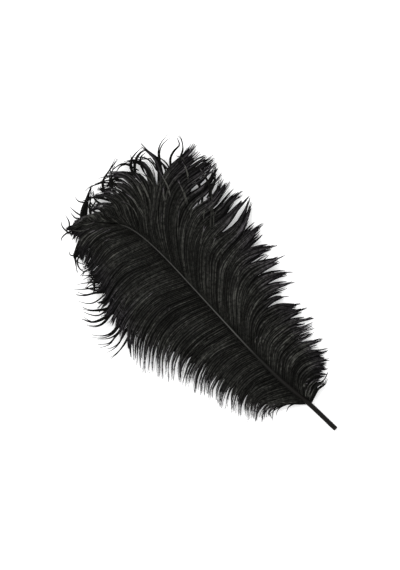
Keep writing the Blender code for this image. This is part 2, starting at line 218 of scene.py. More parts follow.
# Barbs that lie on top of the vanes, made lighter by a painted highlight: how many side by side, how light, and the
# points passed.
PAINTED_HIGHLIGHT_BARBS = (
    (2, 1.7, (14, 250), (16.5, 259), (17.5, 267), (16, 274)),
    (2, 1.6, (25, 252), (29, 260), (31.5, 267), (33, 275), (33, 281)),
    (2, 1.6, (42, 245), (47, 254), (49.5, 262), (51, 268)),
    (2, 1.3, (33, 241), (38, 249), (44, 256)),
    (2, 1.7, (47.5, 230), (51.5, 237), (54, 243), (57, 251)),
    (2, 1.5, (63, 244), (67, 249), (70, 255), (71, 260)),
    (1, 1.2, (72, 256), (73, 262), (71, 268)),
    (1, 0.6, (75, 233), (76.5, 240), (78, 246)),
    (2, 0.5, (49, 199), (56, 206), (60.5, 211.5), (64, 216), (68.5, 220.5), (73, 226), (76, 233)),
    (2, 0.5, (44, 198), (52, 206), (59.5, 212.5), (62.5, 218.5), (64, 225)),
    (2, 1.3, (31, 197), (38, 202), (46, 205)),
    (2, 1.3, (38, 189.5), (44, 192.5)),
    (1, 1.0, (48, 211), (55, 216), (62, 218)),
    (1, 1.2, (36, 213), (43, 216), (51, 217)),
    (1, 1.2, (41, 220), (47, 223), (53, 224)),
    (1, 1.0, (55, 206), (62, 208), (70, 207)),
    (1, 0.8, (20, 214), (30, 224), (40, 232)),
    (1, 0.8, (10, 222), (20, 234), (28, 241)),
    (2, 1.0, (-43, 272), (-34, 273.5), (-24, 271)),
    (1, 1.2, (-44, 269), (-32, 270.5), (-18, 267)),
    (1, 0.9, (-40, 265), (-28, 266), (-14, 262)),
    (1, 0.8, (-42, 257), (-30, 258.5), (-20, 257)),
    (1, 0.9, (-39, 285), (-34, 279), (-27, 275)),
    (1, 0.9, (-31, 284), (-26, 279), (-20, 276)),
    (1, 0.8, (-57, 204), (-44, 208.5), (-28, 208)),
    (1, 0.8, (-54, 194), (-42, 197.5), (-26, 197)),
    (1, 0.8, (-52, 176), (-38, 178), (-24, 177)),
    (2, 0.9, (10, 66.5), (18, 69), (28, 68), (36, 64)),
    (2, 0.9, (14, 70.5), (24, 70.5), (34, 67), (41, 62)),
    (2, 0.8, (24, 74), (33, 71.5), (42, 67)),
    (1, 0.9, (3, 70), (9, 75)),
    (2, 1.7, (7, 46), (9.5, 47.5), (11.5, 46)),
    (1, 1.5, (14, 49), (16.5, 48)),
    (2, 1.4, (3, 36), (6, 39), (11, 40.5)),
    (1, 1.3, (4, 35), (8, 37), (12, 37.5)),
    (1, 1.3, (2.5, 38), (4.5, 41), (8, 43)),
    (2, 1.2, (30, 86), (33, 85), (36, 85)),
    (1, 1.0, (12, 94), (20, 95.5), (29, 94)),
    (1, 1.0, (14, 90), (24, 91), (32, 89)),
    (1, 1.0, (38, 261), (40, 269), (38.5, 278)),
    (1, 1.0, (8, 250), (11.5, 258), (12, 266), (9, 273)),
    (1, 0.5, (-8, 271.5), (-5, 268.5)),
    (1, 0.5, (-21, 279), (-18, 277)),
    (1, 1.2, (4.5, 103), (7, 105.5), (9.5, 106)),
    (1, 1.2, (7.5, 101), (10, 103), (12.5, 103.5)),
    (1, 1.2, (8, 98), (11, 100), (14, 100.5)),
    (1, 1.0, (3.5, 98.5), (6, 101), (8.5, 102)),
    (1, 0.5, (30, 150), (36, 156), (44, 158)),
    (1, 0.5, (28, 160), (35, 167), (46, 170)),
    (1, 0.5, (31, 172), (40, 180), (52, 182)),
    (1, 0.9, (8, 46), (12, 48.5), (16, 47.5)),
    (1, 0.9, (2, 34), (8, 37), (15, 38.5), (21, 36.5)),
    (1, 0.9, (3, 37), (9, 41), (17, 42), (23, 39)),
    (1, 0.9, (4, 40), (10, 44), (19, 44.5)),
    (1, 0.9, (-12, 45), (-17, 52), (-24, 54)),
)

# Distance along the shaft, and the barbs' spacing there.
BARB_SPACING = ((30, 0.6), (120, 0.54), (200, 0.42), (290, 0.36))
BARB_POINTS = 15
BARB_RADII = ((0.0, 0.15), (0.5, 0.12), (1.0, 0.04))
# A strand is a few barbs side by side, low at its edges, led by the one in its middle, which is thicker and on top,
# and lighter by a painted highlight along the strand's ridge. These are a strand's barbs, and how far they gather to
# its middle, along them and at their tips.
STRAND_BARBS = (2, 5)
STRAND_GATHER, TIP_GATHER, TIP_GATHER_LATE = 0.25, 0.6, 4
# Distance along the shaft, and how far the strands' tips sway, by side.
STRAND_SWAY = {-1: ((30, 1.8), (290, 1.8)), 1: ((30, 0.9), (165, 0.9), (185, 1.8), (196, 1.4), (206, 0.7), (214, 0.7), (228, 1.4), (290, 1.6))}
BARB_SWAY, SWAY_LATE = 0.6, 4
SHARED_BEND, STRAND_BEND = 1.2, 0.25
# Distance along the shaft, and how far the longest barbs go along their guides, by side.
TIP_SHARE = {
    -1: ((30, 1.03), (158, 1.03), (172, 0.95), (195, 0.96), (215, 1.0), (290, 1.03)),
    1: ((30, 1.0), (45, 1.03), (60, 1.1), (155, 1.1), (172, 1.05), (200, 1.03), (213, 1.02), (230, 1.06), (290, 1.04)),
}
THIN_LONGER, STRAND_SHORTEN, BARB_SHORTEN = 0.09, 0.14, 0.04
WAVE_HEIGHT = 0.9
# Distance along the shaft, and how strongly barbs are drawn to the nearer guide where the vane parts, and how
# much shorter those between two guides are, so that the rest ends in points, by side.
PARTING = {
    -1: ((30, 0.5), (90, 0.5), (115, 0.3), (165, 0.35), (185, 0.5), (290, 0.5)),
    1: ((30, 0.7), (165, 0.7), (182, 0.65), (208, 0.6), (214, 0.9), (226, 0.9), (236, 0.7), (290, 0.7)),
}
POINTED = {-1: ((30, 0.03), (290, 0.03)), 1: ((30, 0.1), (56, 0.08), (62, 0.03), (80, 0.04), (90, 0.12), (165, 0.12), (185, 0.06), (202, 0.02), (214, 0.02), (290, 0.04))}
STRAND_LAYER, BARB_LAYER, STRAND_DOME, LEAD_OVER = 0.9, 0.3, 1.2, 0.5
LEAD_THICKER = 2.1
# Distance along the shaft, and how light the barbs are there, by side.
VANE_TONE = {
    -1: ((30, 0.4), (60, 0.46), (110, 0.47), (150, 0.5), (185, 0.46), (250, 0.44), (262, 0.26), (290, 0.26)),
    1: ((30, 0.3), (55, 0.4), (75, 0.55), (130, 0.54), (165, 0.48), (205, 0.42), (290, 0.42)),
}
# Painted glints, highlights painted into the barbs' tone where they bend: how strong along the shaft, their share of
# the way out, its spread, and how long.
PAINTED_GLINTS = {-1: ((30, 0.4), (165, 0.7), (290, 0.7)), 1: ((30, 0.6), (60, 2.2), (100, 2.0), (125, 0.9), (190, 0.8), (220, 1.6), (290, 1.6))}
GLINT_AT, GLINT_SPREAD, GLINT_LENGTH = 0.57, 0.14, 0.05
# Share of the way out along a barb, and how light it is there.
BARB_TONES = ((0, 0.35), (0.15, 1), (1, 1))
BARB_ARCH = 3.4
TIP_HEIGHT = 0.6
TIP_STRAY = 1.0
FALL = 1.5
# Share of the way out along a barb, and the width there of the low roof of down that hangs from it.
WEB_WIDTHS = ((0.0, 1.2), (0.3, 1.8), (0.7, 1.8), (0.88, 1.4), (1.0, 0.4))
WEB_SLOPE = 0.3

# Barbs that lie loose on each vane, how far they drift across the guides, and how high over the rest.
STRAYS = 110
STRAY_DRIFT, STRAY_OVER = 0.7, 1.5

# How far apart the barbs of a bundle lie, and how far their ends part.
BUNDLE_SPACING, BUNDLE_SPLAY = 0.8, 1.2
# How far round its points a barb with a painted highlight looks for what it lies on, and how high over that it lies.
HIGHLIGHT_BARB_REACH, HIGHLIGHT_BARB_OVER = 3, 0.3

BARBULES = 310000
# Share of the way out along a barb, and a barbule's length there and its angle to the barb in degrees.
BARBULE_LENGTHS = ((0.0, 0.6), (0.04, 1.5), (0.3, 1.9), (0.8, 2.2), (0.95, 1.5), (1.0, 1.0))
BARBULE_ANGLES = ((0.0, 40), (0.4, 26), (0.8, 22), (1.0, 15))
BARBULE_WIDTH = 0.17
LEAD_BARBULE_LENGTH, LEAD_BARBULE_ANGLE = 0.4, 0.5
# Distance along the shaft, and how few of their barbules each vane's barbs keep towards their tips there, by side.
THIN_FRINGE = {
    -1: ((40, 0.7), (50, 0.95), (75, 0.95), (90, 0.85), (110, 0.75), (165, 0.85), (180, 0.3), (300, 0.1)),
    1: ((32, 0.2), (38, 0), (50, 0.1), (60, 0.4), (74, 0.5), (84, 0.1), (165, 0), (176, 0.4), (200, 0.35), (206, 0.1), (214, 0.2), (228, 0.45), (262, 0.55), (276, 0.2), (300, 0.2)),
}
# The fringe starts this share of the way out, and is as thin as that after another of these.
THIN_FROM, THIN_OVER = 0.55, 0.3
# Distance along the shaft, and how much paler the barbs are from there on, by side.
TIPS_PALER = {
    -1: ((30, 1.8), (60, 2.6), (165, 2.6), (185, 0.5), (205, 0.2), (215, 0.1), (235, -0.2), (290, -0.2)),
    1: ((30, 0.9), (130, 0.9), (160, 0.8), (185, 1.4), (290, 1.1)),
}
# The underlayer: its spacing over the barbs', how far under them it lies, how far out it reaches, and its width.
UNDER_SPACING = 2
UNDER_DROP = 0.9
UNDER_REACH = {
    -1: ((34, 0.55), (60, 0.44), (85, 0.5), (90, 0.54), (110, 0.6), (165, 0.62), (180, 0.74), (250, 0.8), (290, 0.78)),
    1: ((32, 0.85), (36, 0.98), (54, 0.96), (64, 0.84), (78, 0.86), (90, 0.98), (214, 0.98), (219, 0.86), (228, 0.76), (262, 0.74), (276, 0.84), (290, 0.84)),
}
UNDER_JITTER = {-1: (0.85, 1.25), 1: (0.9, 1.04)}
UNDER_WIDTHS = ((0.0, 1.5), (0.2, 2.6), (0.8, 2.2), (0.93, 1.4), (1.0, 0.3))
SECTIONS = ("lower", "middle", "upper")
# The horn's colours between its ends: how far along it as a share, then red, green and blue.
HORN_COLOURS = (
    (0.006, 0.0062, 0.0054, 0.0047),
    (0.14, 0.0070, 0.0064, 0.0056),
    (0.33, 0.0110, 0.0110, 0.0098),
    (0.42, 0.0600, 0.0600, 0.0560),
)
# The darkest and the lightest barbs near the shaft, and towards the tips.
INNER_COLOURS = ((0.0008, 0.0008, 0.0004), (0.0960, 0.0966, 0.0860))
OUTER_COLOURS = ((0.0010, 0.0008, 0.0013), (0.1400, 0.1260, 0.1440))

PHOTO_SIZE = (400, 570)
PHOTO_QUILL_END = (335.5, 430.5)
MM_A_PIXEL = 0.87
SHAFT_TURN = math.radians(45)
CAMERA_HEIGHT = 1.3
PLUME_HEIGHT = 0.008


def table_at(table, at):
    """The second column of a two-column table, read in straight lines at these first-column values."""
    return np.interp(at, [row[0] for row in table], [row[1] for row in table])


def smooth_line(points, samples):
    """This many points, evenly spaced along a smooth line through the given ones (Catmull-Rom)."""
    points = np.asarray(points, float)
    padded = np.vstack([2 * points[0] - points[1], points, 2 * points[-1] - points[-2]])
    t = np.linspace(0, 1, 12, endpoint=False)[:, None]
    dense = []
    for before, start, end, after in zip(padded, padded[1:], padded[2:], padded[3:]):
        bend = 2 * before - 5 * start + 4 * end - after
        twist = 3 * (start - end) + after - before
        dense.append(start + ((end - before) * t + bend * t**2 + twist * t**3) / 2)
    dense = np.vstack([*dense, points[-1:]])
    along = np.concatenate([[0], np.cumsum(np.linalg.norm(np.diff(dense, axis=0), axis=1))])
    even = np.linspace(0, along[-1], samples)
    return np.stack([np.interp(even, along, dense[:, k]) for k in range(points.shape[1])], 1)


class Shaft:
    """The shaft's centreline, read by distance along it."""

    def __init__(self):
        self.points = smooth_line([(x, y, z) for y, x, z in SHAFT_LINE], 240)
        steps = np.linalg.norm(np.diff(self.points, axis=0), axis=1)
        self.along = np.concatenate([[0], np.cumsum(steps)])

    def at(self, distance):
        return np.stack([np.interp(distance, self.along, self.points[:, k]) for k in range(3)], -1)


def strands(count, rng):
    """For each barb, the number of its strand, its place across it from -1 to 1, and whether it leads it."""
    sizes = rng.integers(*STRAND_BARBS, count)
    strand = np.repeat(np.arange(count), sizes)[:count]
    rank = np.arange(count) - np.searchsorted(strand, strand)
    size = np.bincount(strand)[strand]
    return strand, (rank + 0.5) / size * 2 - 1, rank == size // 2


class Vane:
    """One vane as a sheet. A place counts the guides along the shaft, and a share is the way out along a barb."""

    def __init__(self, side, guides, shaft, rng):
        self.side, self.shaft = side, shaft
        self.roots, self.lifts, self.partings = (np.array([g[k] for g in guides], float) for k in range(3))
        starts = shaft.at(self.roots)[:, :2]
        self.lines = np.stack([smooth_line([start, *g[3:]], 33) for start, g in zip(starts, guides)])
        self.bends = rng.normal(0, SHARED_BEND, len(guides))
        self.waves = rng.uniform(-1, 1, (6, 3))

    def read(self, values, place):
        return np.interp(place, np.arange(len(values)), values)

    def even_places(self, spacing, jitter, rng):
        """Places of barbs that grow this share of BARB_SPACING apart."""
        steps = np.arange(self.roots[0], self.roots[-1], 0.25)
        passed = np.cumsum(0.25 / table_at(BARB_SPACING, steps)) / spacing
        count = int(passed[-1])
        at = np.sort(np.interp(np.arange(count) + rng.normal(0, jitter, count), passed, steps))
        return np.interp(at, self.roots, np.arange(len(self.roots)))

    def parted(self, place, low, share):
        """Places drawn to the nearer guide, where the vane parts between guide low and the next."""
        parting = self.partings[low] / 10
        opened = np.clip((share - 0.85 + 0.45 * parting) / 0.35, 0, 1)
        strength = table_at(PARTING[self.side], self.read(self.roots, place))
        power = 1 - strength * opened**2 * (3 - 2 * opened)
        off = (place - low - 0.5) * 2
        return low + 0.5 + np.sign(off) * np.abs(off) ** power / 2

    def sheet(self, place, share, low):
        """Points at these places and shares, each barb a row, read between guide low and the next."""
        w = (place - low)[..., None]
        steps = share * (self.lines.shape[1] - 1)
        k = np.clip(np.floor(steps).astype(int), 0, self.lines.shape[1] - 2)
        frac = (steps - k)[..., None]
        first = self.lines[low, k] * (1 - frac) + self.lines[low, k + 1] * frac
        second = self.lines[low + 1, k] * (1 - frac) + self.lines[low + 1, k + 1] * frac
        flat = first + (second - first) * w
        at = self.read(self.roots, place)
        root = self.shaft.at(at)
        root[..., 0] += self.side * table_at(SHAFT_RADII, at) * 0.8
        start = self.shaft.at(at)[..., :2]
        flat = flat + (root[..., :2] - start) * ((1 - share) ** 2)[..., None]
        arch = np.sin(math.pi * np.clip(share, 0, 1))
        flat = flat + level_across(flat) * (self.read(self.bends, place) * arch**2)[..., None]
        tip = TIP_HEIGHT + self.read(self.lifts, place)
        level = root[..., 2] + (tip - root[..., 2]) * share**FALL + BARB_ARCH * arch
        for along, out, phase in self.waves:
            wave = at * along * 0.45 + share * out * 9 + phase * math.pi
            level = level + WAVE_HEIGHT / 3 * np.sin(wave) * arch
        return np.concatenate([flat, level[..., None]], -1)

    def low_guide(self, place):
        return np.clip(np.floor(place).astype(int), 0, len(self.roots) - 2)


def level_across(flat):
    """Unit vectors on the level, across lines seen from above."""
    tangent = np.gradient(flat, axis=1)
    tangent /= np.linalg.norm(tangent, axis=2, keepdims=True)
    return np.stack([-tangent[..., 1], tangent[..., 0]], -1)


def barb_paths(vane, rng):
    """One vane's barbs: their centrelines, where each grows, its strand, and whether it leads it."""
    place = vane.even_places(1, 0.3, rng)
    count = len(place)
    strand, across_strand, lead = strands(count, rng)
    middle = (np.bincount(strand, place) / np.bincount(strand))[strand]
    low = vane.low_guide(middle)[:, None]
    thin = fringe(vane, place)[:, None]
    at = vane.read(vane.roots, place)

    t = np.linspace(0, 1, BARB_POINTS)
    to_middle = STRAND_GATHER * np.clip(t / 0.2, 0, 1) + TIP_GATHER * (1 - 0.4 * thin) * t**TIP_GATHER_LATE
    gathered = place[:, None] + (middle - place)[:, None] * to_middle
    shorten = STRAND_SHORTEN * rng.uniform(0, 1, count)[strand] ** 2 + rng.uniform(0, BARB_SHORTEN, count)
    shorten = shorten + table_at(POINTED[vane.side], at) * np.clip(1 - 2 * np.abs(middle - low[:, 0] - 0.5), 0, 1)
    share = t * (table_at(TIP_SHARE[vane.side], at)[:, None] + THIN_LONGER * thin - shorten[:, None])
    paths = vane.sheet(vane.parted(gathered, low, t), share, low)

    sway = (rng.normal(0, 1, count)[strand] * table_at(STRAND_SWAY[vane.side], at) + rng.normal(0, BARB_SWAY, count))[:, None] * t**SWAY_LATE
    sway = sway + rng.normal(0, STRAND_BEND, count)[strand][:, None] * np.sin(math.pi * t) ** 2
    paths[..., :2] += level_across(paths[..., :2]) * sway[..., None]
    layer = rng.uniform(-STRAND_LAYER, STRAND_LAYER, count)[strand] + rng.uniform(-BARB_LAYER, BARB_LAYER, count)
    layer = layer + STRAND_DOME * (0.5 - across_strand**2) + LEAD_OVER * lead
    paths[..., 2] += layer[:, None] * np.clip(t / 0.15, 0, 1) * (1 - t**4)
    paths[..., 2] += np.abs(rng.normal(0, TIP_STRAY, count))[strand][:, None] * t**2
    return paths, place, strand, lead


def under_paths(vane, rng):
    """The barbs that lie under the others, without strands, and end before them."""
    place = vane.even_places(UNDER_SPACING, 0.1, rng)[:, None]
    low = vane.low_guide(place)
    t = np.linspace(0, 1, BARB_POINTS)
    reach = table_at(UNDER_REACH[vane.side], vane.read(vane.roots, place)) * rng.uniform(*UNDER_JITTER[vane.side], place.shape)
    share = t * np.clip(reach, 0, 1)
    paths = vane.sheet(vane.parted(place + 0 * t, low, share), share, low)
    paths[..., 2] -= UNDER_DROP * np.clip(t / 0.15, 0, 1)
    return paths


def stray_paths(vane, rng):
    """Barbs that lie loose on the vane and drift across the others."""
    s = np.linspace(0, 1, BARB_POINTS)
    start, end = rng.uniform(0.05, 0.5, (STRAYS, 1)), rng.uniform(0.7, 1.0, (STRAYS, 1))
    share = start + (end - start) * s
    place = rng.uniform(1, len(vane.roots) - 4, (STRAYS, 1)) + rng.normal(0, STRAY_DRIFT, (STRAYS, 1)) * s
    paths = vane.sheet(place, share, vane.low_guide(place))
    paths[..., 2] += STRAY_OVER * np.sin(math.pi * share)
    return paths


def fringe(vane, place):
    """How thin the vane's fringe is at these places, 0 to 1."""
    return table_at(THIN_FRINGE[vane.side], vane.read(vane.roots, place))


def directions(paths):
    """Along each path, across it on the level, and over it."""
    along = np.gradient(paths, axis=1)
    along /= np.linalg.norm(along, axis=2, keepdims=True)
    across = np.cross(along, (0.0, 0.0, 1.0))
    across /= np.linalg.norm(across, axis=2, keepdims=True)
    return along, across, np.cross(across, along)


def tubes(paths, radii):
    """Closed three-sided tubes along the paths, as places and triangles."""
    count, steps, _ = paths.shape
    _, across, over = directions(paths)
    turn = np.radians([90, 210, 330])
    ring = across[:, :, None] * np.cos(turn)[:, None] + over[:, :, None] * np.sin(turn)[:, None]
    places = paths[:, :, None] + ring * radii[:, :, None, None]
    number = np.arange(count * steps * 3).reshape(count, steps, 3)
    a, b = number[:, :-1], number[:, 1:]
    walls = [np.stack([a, b, np.roll(b, -1, 2)], -1), np.stack([a, np.roll(b, -1, 2), np.roll(a, -1, 2)], -1)]
    ends = [number[:, 0, ::-1], number[:, -1]]
    return places.reshape(-1, 3), np.vstack([np.reshape(f, (-1, 3)) for f in [*walls, *ends]])


def webs(paths, widths):
    """Low roofs of down that hang from the paths, as places and triangles."""
    count, steps, _ = paths.shape
    _, across, over = directions(paths)
    half = widths[:, :, None] / 2
    eaves = over * half * 2 * WEB_SLOPE
    places = np.stack([paths - across * half - eaves, paths, paths + across * half - eaves], 2)
    number = np.arange(count * steps * 3).reshape(count, steps, 3)
    a, b = number[:, :-1], number[:, 1:]
    faces = []
    for k in (0, 1):
        faces.append(np.stack([a[..., k], a[..., k + 1], b[..., k + 1]], -1))
        faces.append(np.stack([a[..., k], b[..., k + 1], b[..., k]], -1))
    return places.reshape(-1, 3), np.vstack([f.reshape(-1, 3) for f in faces])


def barbules(paths, count, rng, lengths=1.0, angles=1.0, thin=0.0):
    """Bent slivers that stand off both sides of the barbs, four points and two triangles each.

    lengths and angles are factors, and thin is the share left out towards the tips, all one for each barb.
    """
    barbs = len(paths)
    lengths, angles, thin = (np.broadcast_to(v, barbs) for v in (lengths, angles, thin))
    reach = np.linalg.norm(np.diff(paths, axis=1), axis=2).sum(1)
    which = rng.choice(barbs, count, p=reach / reach.sum())
    t = rng.uniform(0.01, 1, count) ** 0.8
    kept = rng.uniform(0, 1, count) > thin[which] * np.clip((t - THIN_FROM) / THIN_OVER, 0, 1)
    which, t = which[kept], t[kept]
    count = len(t)
    share = t * (paths.shape[1] - 1)
    k = np.clip(share.astype(int), 0, paths.shape[1] - 2)
    frac = (share - k)[:, None]
    start, end = paths[which, k], paths[which, k + 1]
    base = start + (end - start) * frac
    along = (end - start) / np.linalg.norm(end - start, axis=1, keepdims=True)
    across = np.cross(along, (0.0, 0.0, 1.0))
    across /= np.linalg.norm(across, axis=1, keepdims=True)
    over = np.cross(across, along)
    side = rng.choice((-1.0, 1.0), count)[:, None]
    roll = rng.normal(-0.25, 0.4, count)[:, None]
    out = across * side * np.cos(roll) + over * np.sin(roll)
    angle = np.radians((table_at(BARBULE_ANGLES, t) + rng.normal(0, 7, count)) * angles[which])[:, None]
    size = (table_at(BARBULE_LENGTHS, t) * rng.uniform(0.55, 1.15, count) * lengths[which])[:, None]
    first = along * np.cos(angle) + out * np.sin(angle)
    later = angle * rng.uniform(0.2, 0.9, count)[:, None]
    second = along * np.cos(later) + out * np.sin(later) - np.array((0, 0, 0.12))
    middle = base + first * size * 0.45
    tip = middle + second * size * 0.55
    width = np.cross(first, (0.0, 0.0, 1.0))
    width /= np.linalg.norm(width, axis=1, keepdims=True)
    width = (width + np.array((0, 0, 1)) * rng.normal(0, 0.5, count)[:, None]) * BARBULE_WIDTH / 2
    places = np.stack([base, middle - width, middle + width, tip], 1)
    number = np.arange(count * 4).reshape(count, 4)
    triangles = np.vstack([number[:, [0, 1, 2]], number[:, [1, 3, 2]]])
    return places.reshape(-1, 3), triangles, which, t


def piece(name, parts, material, origin):
    """One mesh object in the row frame from several (places, triangles, tones, shares out, smooth)."""
    places, triangles, tones, shares, smooth, base = [], [], [], [], [], 0
    for part_places, part_triangles, part_tones, part_shares, part_smooth in parts:
        places.append(part_places)
        triangles.append(part_triangles + base)
        tones.append(np.broadcast_to(part_tones, len(part_places)))
        shares.append(np.broadcast_to(part_shares, len(part_places)))
        smooth.append(np.full(len(part_triangles), part_smooth))
        base += len(part_places)
    places, triangles = np.vstack(places), np.vstack(triangles)
    places[:, 2] = np.maximum(places[:, 2], 0.05)
    mesh = bpy.data.meshes.new(name)
    mesh.vertices.add(len(places))
    mesh.vertices.foreach_set("co", (places * MM + origin).ravel())
    mesh.loops.add(len(triangles) * 3)
    mesh.loops.foreach_set("vertex_index", triangles.astype(np.int32).ravel())
    mesh.polygons.add(len(triangles))
    mesh.polygons.foreach_set("loop_start", np.arange(0, len(triangles) * 3, 3, dtype=np.int32))
    mesh.polygons.foreach_set("use_smooth", np.concatenate(smooth))
    for label, values in (("tone", tones), ("out", shares)):
        made = mesh.attributes.new(label, "FLOAT", "POINT")
        made.data.foreach_set("value", np.concatenate(values).astype(np.float32))
    mesh.update(calc_edges=True)
    mesh.materials.append(material)
    obj = bpy.data.objects.new(name, mesh)
    bpy.context.scene.collection.objects.link(obj)
    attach(obj, "root")
    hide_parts("feather")
    return obj


def dressed_barbs(paths, radii, widths, tones, count, rng, painted_glints=0.0, paler=0.0, **how):
    """Barbs with their roofs of down and their barbules, as three parts for a piece."""
    t = np.linspace(0, 1, paths.shape[1])
    bend = rng.normal(GLINT_AT, GLINT_SPREAD, len(paths))
    painted_glints, paler = (np.broadcast_to(v, len(paths)) for v in (painted_glints, paler))
    tube_places, tube_triangles = tubes(paths, radii)
    web_places, web_triangles = webs(paths, widths)
    mottled = np.sin(t * rng.uniform(2, 14, (len(paths), 1)) + rng.uniform(0, 2 * math.pi, (len(paths), 1)))
    # Painted highlight: a glint painted into the tone of each barb and its barbules where the barb bends.
    painted_glint = painted_glints[:, None] * np.exp(-(((t - bend[:, None]) / GLINT_LENGTH) ** 2))
    pale = 1 + paler[:, None] * np.clip((t - THIN_FROM) / THIN_OVER, 0, 1)
    along = tones[:, None] * table_at(BARB_TONES, t) * pale * (0.7 + 0.3 * mottled + painted_glint)
    point_tones = np.repeat(along.ravel(), 3)
    point_shares = np.tile(np.repeat(t, 3), len(paths))
    soft_places, soft_triangles, which, out = barbules(paths, count, rng, **how)
    pale = 1 + paler[which] * np.clip((out - THIN_FROM) / THIN_OVER, 0, 1)
    painted_glint = painted_glints[which] * np.exp(-(((out - bend[which]) / GLINT_LENGTH) ** 2))
    soft_tones = np.repeat(tones[which] * table_at(BARB_TONES, out) * pale * (0.7 + 0.6 * painted_glint), 4)
    return [
        (tube_places, tube_triangles, point_tones, point_shares, True),
        (web_places, web_triangles, point_tones * 0.3, point_shares, True),
        (soft_places, soft_triangles, soft_tones, np.repeat(out, 4), False),
    ]


def vane_pieces(name, vane, material, origin, rng):
    """The barbs of one vane with their barbules, as one piece for each section of its length, and its underlayer.

    Returns the points that the barbs pass.
    """
    paths, place, strand, lead = barb_paths(vane, rng)
    top = paths.reshape(-1, 3)
    tones = 0.15 * rng.uniform(0, 1, len(paths))[strand] ** 2 + rng.uniform(0, 0.06, len(paths))
    root = vane.read(vane.roots, place)
    # Each lead barb is made lighter by a painted highlight along its strand's ridge, on top of the random tone.
    tones = (tones + lead * rng.uniform(0.15, 1.1, len(paths))) * table_at(VANE_TONE[vane.side], root)
    # Painted glints go on the lead barbs only, as strong as the table gives along the shaft.
    painted_glints = lead * rng.uniform(0, 2, len(paths)) * table_at(PAINTED_GLINTS[vane.side], root)
    paler = table_at(TIPS_PALER[vane.side], root)
    t = np.linspace(0, 1, BARB_POINTS)
    radii = table_at(BARB_RADII, t) * np.where(lead, LEAD_THICKER, 1)[:, None]
    lengths, angles = np.where(lead, LEAD_BARBULE_LENGTH, 1), np.where(lead, LEAD_BARBULE_ANGLE, 1)
    thin = fringe(vane, place)
    widths = table_at(WEB_WIDTHS, t) * (1 - 0.9 * thin[:, None] * np.clip((t - THIN_FROM) / THIN_OVER, 0, 1))
    for rows, section in zip(np.array_split(np.arange(len(paths)), len(SECTIONS)), SECTIONS):
        how = {"painted_glints": painted_glints[rows], "paler": paler[rows], "thin": thin[rows]}
        how.update(lengths=lengths[rows], angles=angles[rows])
        count = BARBULES // (2 * len(SECTIONS))
        parts = dressed_barbs(paths[rows], radii[rows], widths[rows], tones[rows], count, rng, **how)
        piece(f"{name}_{section}", parts, material, origin)
    paths = under_paths(vane, rng)
    places, triangles = webs(paths, np.tile(table_at(UNDER_WIDTHS, t), (len(paths), 1)))
    shares = np.tile(np.repeat(t, 3), len(paths))
    piece(f"{name}_underlayer", [(places, triangles, 0.0, shares, True)], material, origin)
    return top


def strays(vanes, material, origin, rng):
    """The loose barbs of both vanes, as one piece."""
    paths = np.vstack([stray_paths(vane, rng) for vane in vanes])
    t = np.linspace(0, 1, BARB_POINTS)
    radii = np.tile(table_at(((0, 0.03), (0.15, 0.17), (0.7, 0.15), (1, 0.03)), t), (len(paths), 1))
    widths = np.tile(table_at(((0, 0.1), (0.15, 0.6), (0.7, 0.6), (1, 0.1)), t), (len(paths), 1))
    # The loose barbs are painted lighter than the vanes' own barbs: a painted highlight on them.
    tones = rng.uniform(0.1, 0.6, len(paths))
    parts = dressed_barbs(paths, radii, widths, tones, 150 * len(paths), rng, lengths=0.4, angles=0.8)
    piece("stray_barbs", parts, material, origin)


def bundle(flat, barbs, rng):
    """This many lines side by side along one line, set apart at its start, drawing together along it, and parting a
    little at random at its end.
    """
    t = np.linspace(0, 1, len(flat))
    across = level_across(flat[None])[0]
    lines = []
    for k in range(barbs):
        off = (k - (barbs - 1) / 2) * BUNDLE_SPACING + rng.normal(0, 0.15)
        splay = rng.normal(0, BUNDLE_SPLAY) * (barbs > 1)
        lines.append(flat + across * (off * (1 - t**2) + splay * t**3)[:, None])
    return lines


def wisps(material, origin, rng):
    """The thin bundles of barbs that curl clear of the vanes."""
    lines = []
    t = np.linspace(0, 1, BARB_POINTS)
    for lift, barbs, *points in WISPS:
        for flat in bundle(smooth_line(points, BARB_POINTS), barbs, rng):
            level = 6 + (lift - 6) * t + 2 * np.sin(math.pi * t) + rng.uniform(-0.4, 0.4)
            lines.append(np.column_stack([flat, level]))
    paths = np.stack(lines)
    radii = np.tile(table_at(((0, 0.2), (0.6, 0.24), (1, 0.08)), t), (len(paths), 1))
    widths = np.tile(table_at(((0, 0.8), (0.3, 1.4), (0.6, 1.3), (1, 0.3)), t), (len(paths), 1))
    tones = rng.uniform(0.0, 0.1, len(paths))
    parts = dressed_barbs(paths, radii, widths, tones, 200 * len(paths), rng, lengths=0.5, angles=0.9)
    piece("curled_wisps", parts, material, origin)


def painted_highlight_barbs(under, material, origin, rng):
    """The barbs with painted highlights, laid on the highest barb near each of their points."""
    lines, tones = [], []
    t = np.linspace(0, 1, BARB_POINTS)
    for barbs, highlight_tone, *points in PAINTED_HIGHLIGHT_BARBS:
        for flat in bundle(smooth_line(points, BARB_POINTS), barbs, rng):
            near = np.linalg.norm(under[None, :, :2] - flat[:, None], axis=2) < HIGHLIGHT_BARB_REACH
            level = np.where(near, under[None, :, 2], 0).max(1)
            level = np.polyval(np.polyfit(t, level, 2), t) + HIGHLIGHT_BARB_OVER
            lines.append(np.column_stack([flat, level]))
            tones.append(highlight_tone)
    paths = np.stack(lines)
    radii = np.tile(table_at(((0, 0.05), (0.2, 0.33), (0.8, 0.3), (1, 0.05)), t), (len(paths), 1))
    widths = np.tile(table_at(((0, 0.1), (0.2, 0.9), (0.8, 0.8), (1, 0.1)), t), (len(paths), 1))
    tones = np.array(tones) * rng.uniform(0.8, 1.1, len(paths))
    parts = dressed_barbs(paths, radii, widths, tones, 60 * len(paths), rng, lengths=0.4, angles=0.7)
    piece("painted_highlight_barbs", parts, material, origin)


